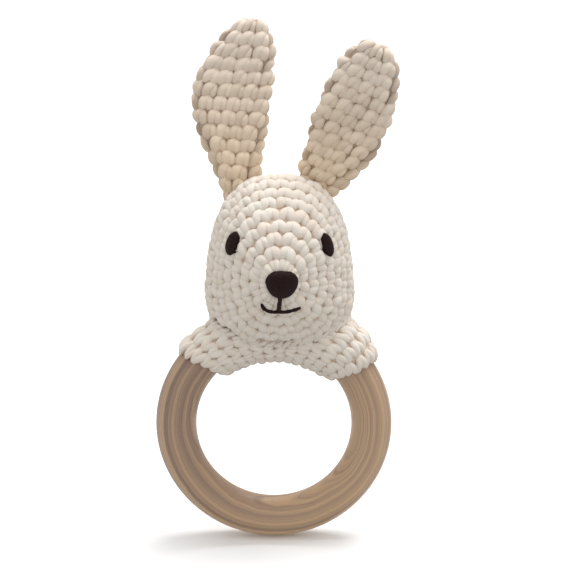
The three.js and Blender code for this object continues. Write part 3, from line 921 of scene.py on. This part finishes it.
def make_nose():
    """Satin stitches from the bottom of a rounded triangle to its top, over a padded dome."""
    nose = Fabric()
    middle = (NOSE_LOW[0] + NOSE_HIGH[0]) / 2
    half = (NOSE_HIGH[0] - NOSE_LOW[0]) / 2
    low, high = NOSE_LOW[2] - NOSE_SINK, NOSE_HIGH[2] - NOSE_SINK
    level = low + (high - low) * 0.6  # where it is widest

    def edges(u):
        top = level + (high - level) * (1 - np.abs(u) ** 3.6) ** 0.62
        bottom = level - (level - low) * (1 - np.abs(u) ** 2.4) ** 0.72
        return bottom, top

    def stitch_points(u, v, out):
        bottom, top = edges(u)
        dome = np.maximum((1 - np.abs(u) ** 2.6) * (1 - np.abs(v) ** 2.6), 0)
        x = middle + half * u + 0 * v
        z = (bottom + top) / 2 + (top - bottom) / 2 * v
        flat = on_face(x, z, 0.0)
        return flat + head_normal(flat) * (out + 1.5 * dome ** 0.6)[..., None]

    u = np.linspace(-0.995, 0.995, 40)
    v = np.linspace(-1, 1, 16)
    grid = stitch_points(u[:, None] * np.ones_like(v), v[None, :] * np.ones_like(u[:, None]), -0.3)
    back = grid - head_normal(grid) * 1.2
    nose.sheet(np.concatenate([grid, back[:, ::-1]], axis=1), 0.5)
    v = np.linspace(-1.03, 1.03, 9)
    for u in np.linspace(-0.97, 0.97, 41):
        ripple = 0.04 * math.sin(u * 57)
        path = stitch_points(np.full_like(v, u), v, ripple - 0.55 * np.abs(v) ** 12)
        nose.cord(path, 0.26, sides=8, step=0.6, shade=0.5)
    fixed_piece(nose.build("nose_satin_stitch", THREAD), "head", "dark_thread", "nose_embroidery")


def make_eye(side):
    """Satin stitches along a pointed oval."""
    eye = Fabric()
    low, high = box_mm(f"eye_{side}")
    middle = (low + high) / 2
    seat = on_face(np.array(middle[0]), np.array(middle[2]), 0.0)
    out = head_normal(seat)
    tilt = math.radians(EYE_TILT[side])
    up = np.array([-math.sin(tilt), 0, math.cos(tilt)])
    up = unit(up - out * (up @ out))
    across = np.cross(up, out)

    def place(u, v):
        chord = (1 - np.abs(u) ** 2) ** 0.62
        dome = (1 - u ** 2) * (1 - np.abs(v) ** 2.4)
        flat = seat + across * (EYE_ACROSS[side] * u)[..., None] + up * (EYE_TALL * v * chord)[..., None]
        return flat + out * (0.9 * dome ** 0.6 + 0.3)[..., None]

    u = np.linspace(-0.99, 0.99, 24)[:, None]
    v = np.linspace(-1, 1, 14)[None, :]
    grid = place(u + 0 * v, v + 0 * u)
    eye.sheet(np.concatenate([grid, (grid - out * 1.6)[:, ::-1]], axis=1), 0.5)
    v = np.linspace(-1.05, 1.05, 9)
    for u in np.linspace(-0.94, 0.94, 21):
        path = place(np.full_like(v, u), np.clip(v, -1, 1)) - out * 0.3 * (np.abs(v) ** 12)[:, None]
        eye.cord(path, 0.25, sides=8, step=0.5, shade=0.5)
    fixed_piece(eye.build(f"eye_{side}_satin_stitch", THREAD), "head", "dark_thread", f"eye_{side}")


def make_mouth(name):
    """Backstitches in a twisted thread."""
    thread = Fabric()
    flat = np.array(MOUTH[name])
    path = on_face(flat[:, 0], flat[:, 1], 0.45)
    ends = np.linspace(-1, 1, len(flat))[:, None] ** 8
    path = path - head_normal(path) * 0.25 * ends
    thread.cord(path, MOUTH_R[name], step=0.25, shade=0.5, lumps=0.16, lump_length=2.1)
    fixed_piece(thread.build(f"{name}_backstitch", THREAD), "head", "dark_thread", name)


# ---- ears ---------------------------------------------------------------------------------------


def make_ear(side, rng):
    ear = Fabric()
    cloth = ear_skin(side, CROWN - BACKING, EAR_THICK / 2 - CROWN + BACKING)
    ear.sheet(cloth.rows[::2, ::4], BACKING_SHADE)
    skin = ear_skin(side, CROWN, EAR_THICK / 2 - CROWN)
    rows = even_rows(skin, 0.1, skin.length, 3.9, 4.1, 0.17)
    crochet(ear, skin, rows, -1, rng, EAR_STITCH, rings=12, sides=14)
    piece = ear.build(f"ear_{side}_crochet", EAR_YARN)
    axes, base = ear_frame(side)
    up = axes[:, 1]
    points = np.array([vertex.co for vertex in piece.data.vertices]) / MM
    # How far up the ear each point lies, for the painted shade that darkens and warms the yarn towards the ear's
    # foot.
    rise = (points - base) @ up
    share = np.clip(rise / rise.max(), 0, 1)
    tint = piece.data.attributes.new("rise", "FLOAT", "POINT")
    tint.data.foreach_set("value", share.astype(np.float32))
    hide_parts(f"ear_{side}")
    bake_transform(piece)


def make_ear_seam(side, rng):
    seam = Fabric()
    skin = ear_skin(side, 0.4, EAR_THICK / 2 - 0.4)
    count = 17
    f = np.arange(count) / count  # fractions of the way round
    foot = np.full(count, skin.length)
    crease = leave_head(lambda s: skin.at(f, s)[0], foot, foot - 16.0)
    loop, normals = skin.at(f, crease)
    whip_stitches(seam, loop, head_normal(loop), normals, 1.0, 0.6, 0.8, 1.3, rng)
    fixed_piece(seam.build(f"ear_{side}_whipstitch", SEWING), "head", "sewing_yarn", f"ear_seam_{side}")


# ---- parts that keep their CAD shape ------------------------------------------------------------


def finish_cad_nodes(materials):
    slots = {part["node"]: part["material_slot"] for part in frame["record"]["subparts"]}
    for name, node in frame["nodes"].items():
        if slots[name] in materials:
            node.data.materials.clear()
            node.data.materials.append(materials[slots[name]])


# ---- camera, light and floor --------------------------------------------------------------------


def make_camera():
    data = bpy.data.cameras.new("camera")
    camera = new_object("camera", data)
    elevation = math.radians(16.5)
    distance = 1.3
    view_width = 0.1679
    target = Vector((0.0033, 0.0, 0.0777))
    back = Vector((0, -math.cos(elevation), math.sin(elevation)))
    camera.location = target + back * distance
    camera.rotation_euler = (-back).to_track_quat("-Z", "Y").to_euler()
    data.lens = data.sensor_width * distance / view_width
    data.clip_start = 0.05
    data.clip_end = 20
    bpy.context.scene.camera = camera


def make_light(name, place, size, power):
    data = bpy.data.lights.new(name, "AREA")
    data.shape = "DISK"
    data.size = size
    data.energy = power
    light = new_object(name, data)
    light.location = place
    light.rotation_euler = (Vector((0, 0, 0.07)) - Vector(place)).to_track_quat("-Z", "Y").to_euler()


def make_world():
    """A soft studio: bright above, dimmer below."""
    world = bpy.data.worlds.new("studio")
    bpy.context.scene.world = world
    world.use_nodes = True
    tree = world.node_tree
    way = tree.nodes.new("ShaderNodeTexCoord")
    split = tree.nodes.new("ShaderNodeSeparateXYZ")
    ramp = tree.nodes.new("ShaderNodeMapRange")
    tree.links.new(way.outputs["Generated"], split.inputs[0])
    tree.links.new(split.outputs[2], ramp.inputs["Value"])
    ramp.inputs["From Min"].default_value = -0.5
    ramp.inputs["From Max"].default_value = 0.1
    ramp.inputs["To Min"].default_value = 0.64
    ramp.inputs["To Max"].default_value = 0.905
    background = tree.nodes["Background"]
    background.inputs["Color"].default_value = (1, 1, 1, 1)
    tree.links.new(ramp.outputs[0], background.inputs["Strength"])


def make_floor():
    n = Nodes("floor_paper", Roughness=0.9)
    paper = n.noise(n.place(), 400.0)
    material = n.finish(Base_Color=n.ramp(paper, (0.0, (0.93, 0.93, 0.93)), (1.0, (0.96, 0.96, 0.96))))
    half = 3.0
    mesh = bpy.data.meshes.new("floor")
    corners = [(-half, -half, 0), (half, -half, 0), (half, half, 0), (-half, half, 0)]
    mesh.from_pydata(corners, [], [(0, 1, 2, 3)])
    mesh.materials.append(material)
    floor = new_object("floor", mesh)
    floor.location.z = -0.0002
    floor.visible_diffuse = False


rng = np.random.default_rng(7)
make_camera()
make_world()
make_light("key", (0.23, 0.2, 1.07), 0.8, 9.2)
make_floor()
bpy.context.scene.view_settings.view_transform = "Standard"

make_ring()
make_head(rng)
make_neck_seam(rng)
make_closing_stitch()
make_sleeve(rng)
make_sleeve_seam(rng)
make_nose()
for name in MOUTH:
    make_mouth(name)
for side in EARS:
    make_eye(side)
    make_ear(side, rng)
    make_ear_seam(side, rng)
finish_cad_nodes({
    "wadding": wadding_material(),
    "case_plastic": plastic_material("case_plastic", srgb(222, 230, 234), 0.3),
    "bead_plastic": plastic_material("bead_plastic", srgb(217, 164, 65), 0.28),
})
for node in ("stuffing_front", "stuffing_back"):
    make_stuffing(node)
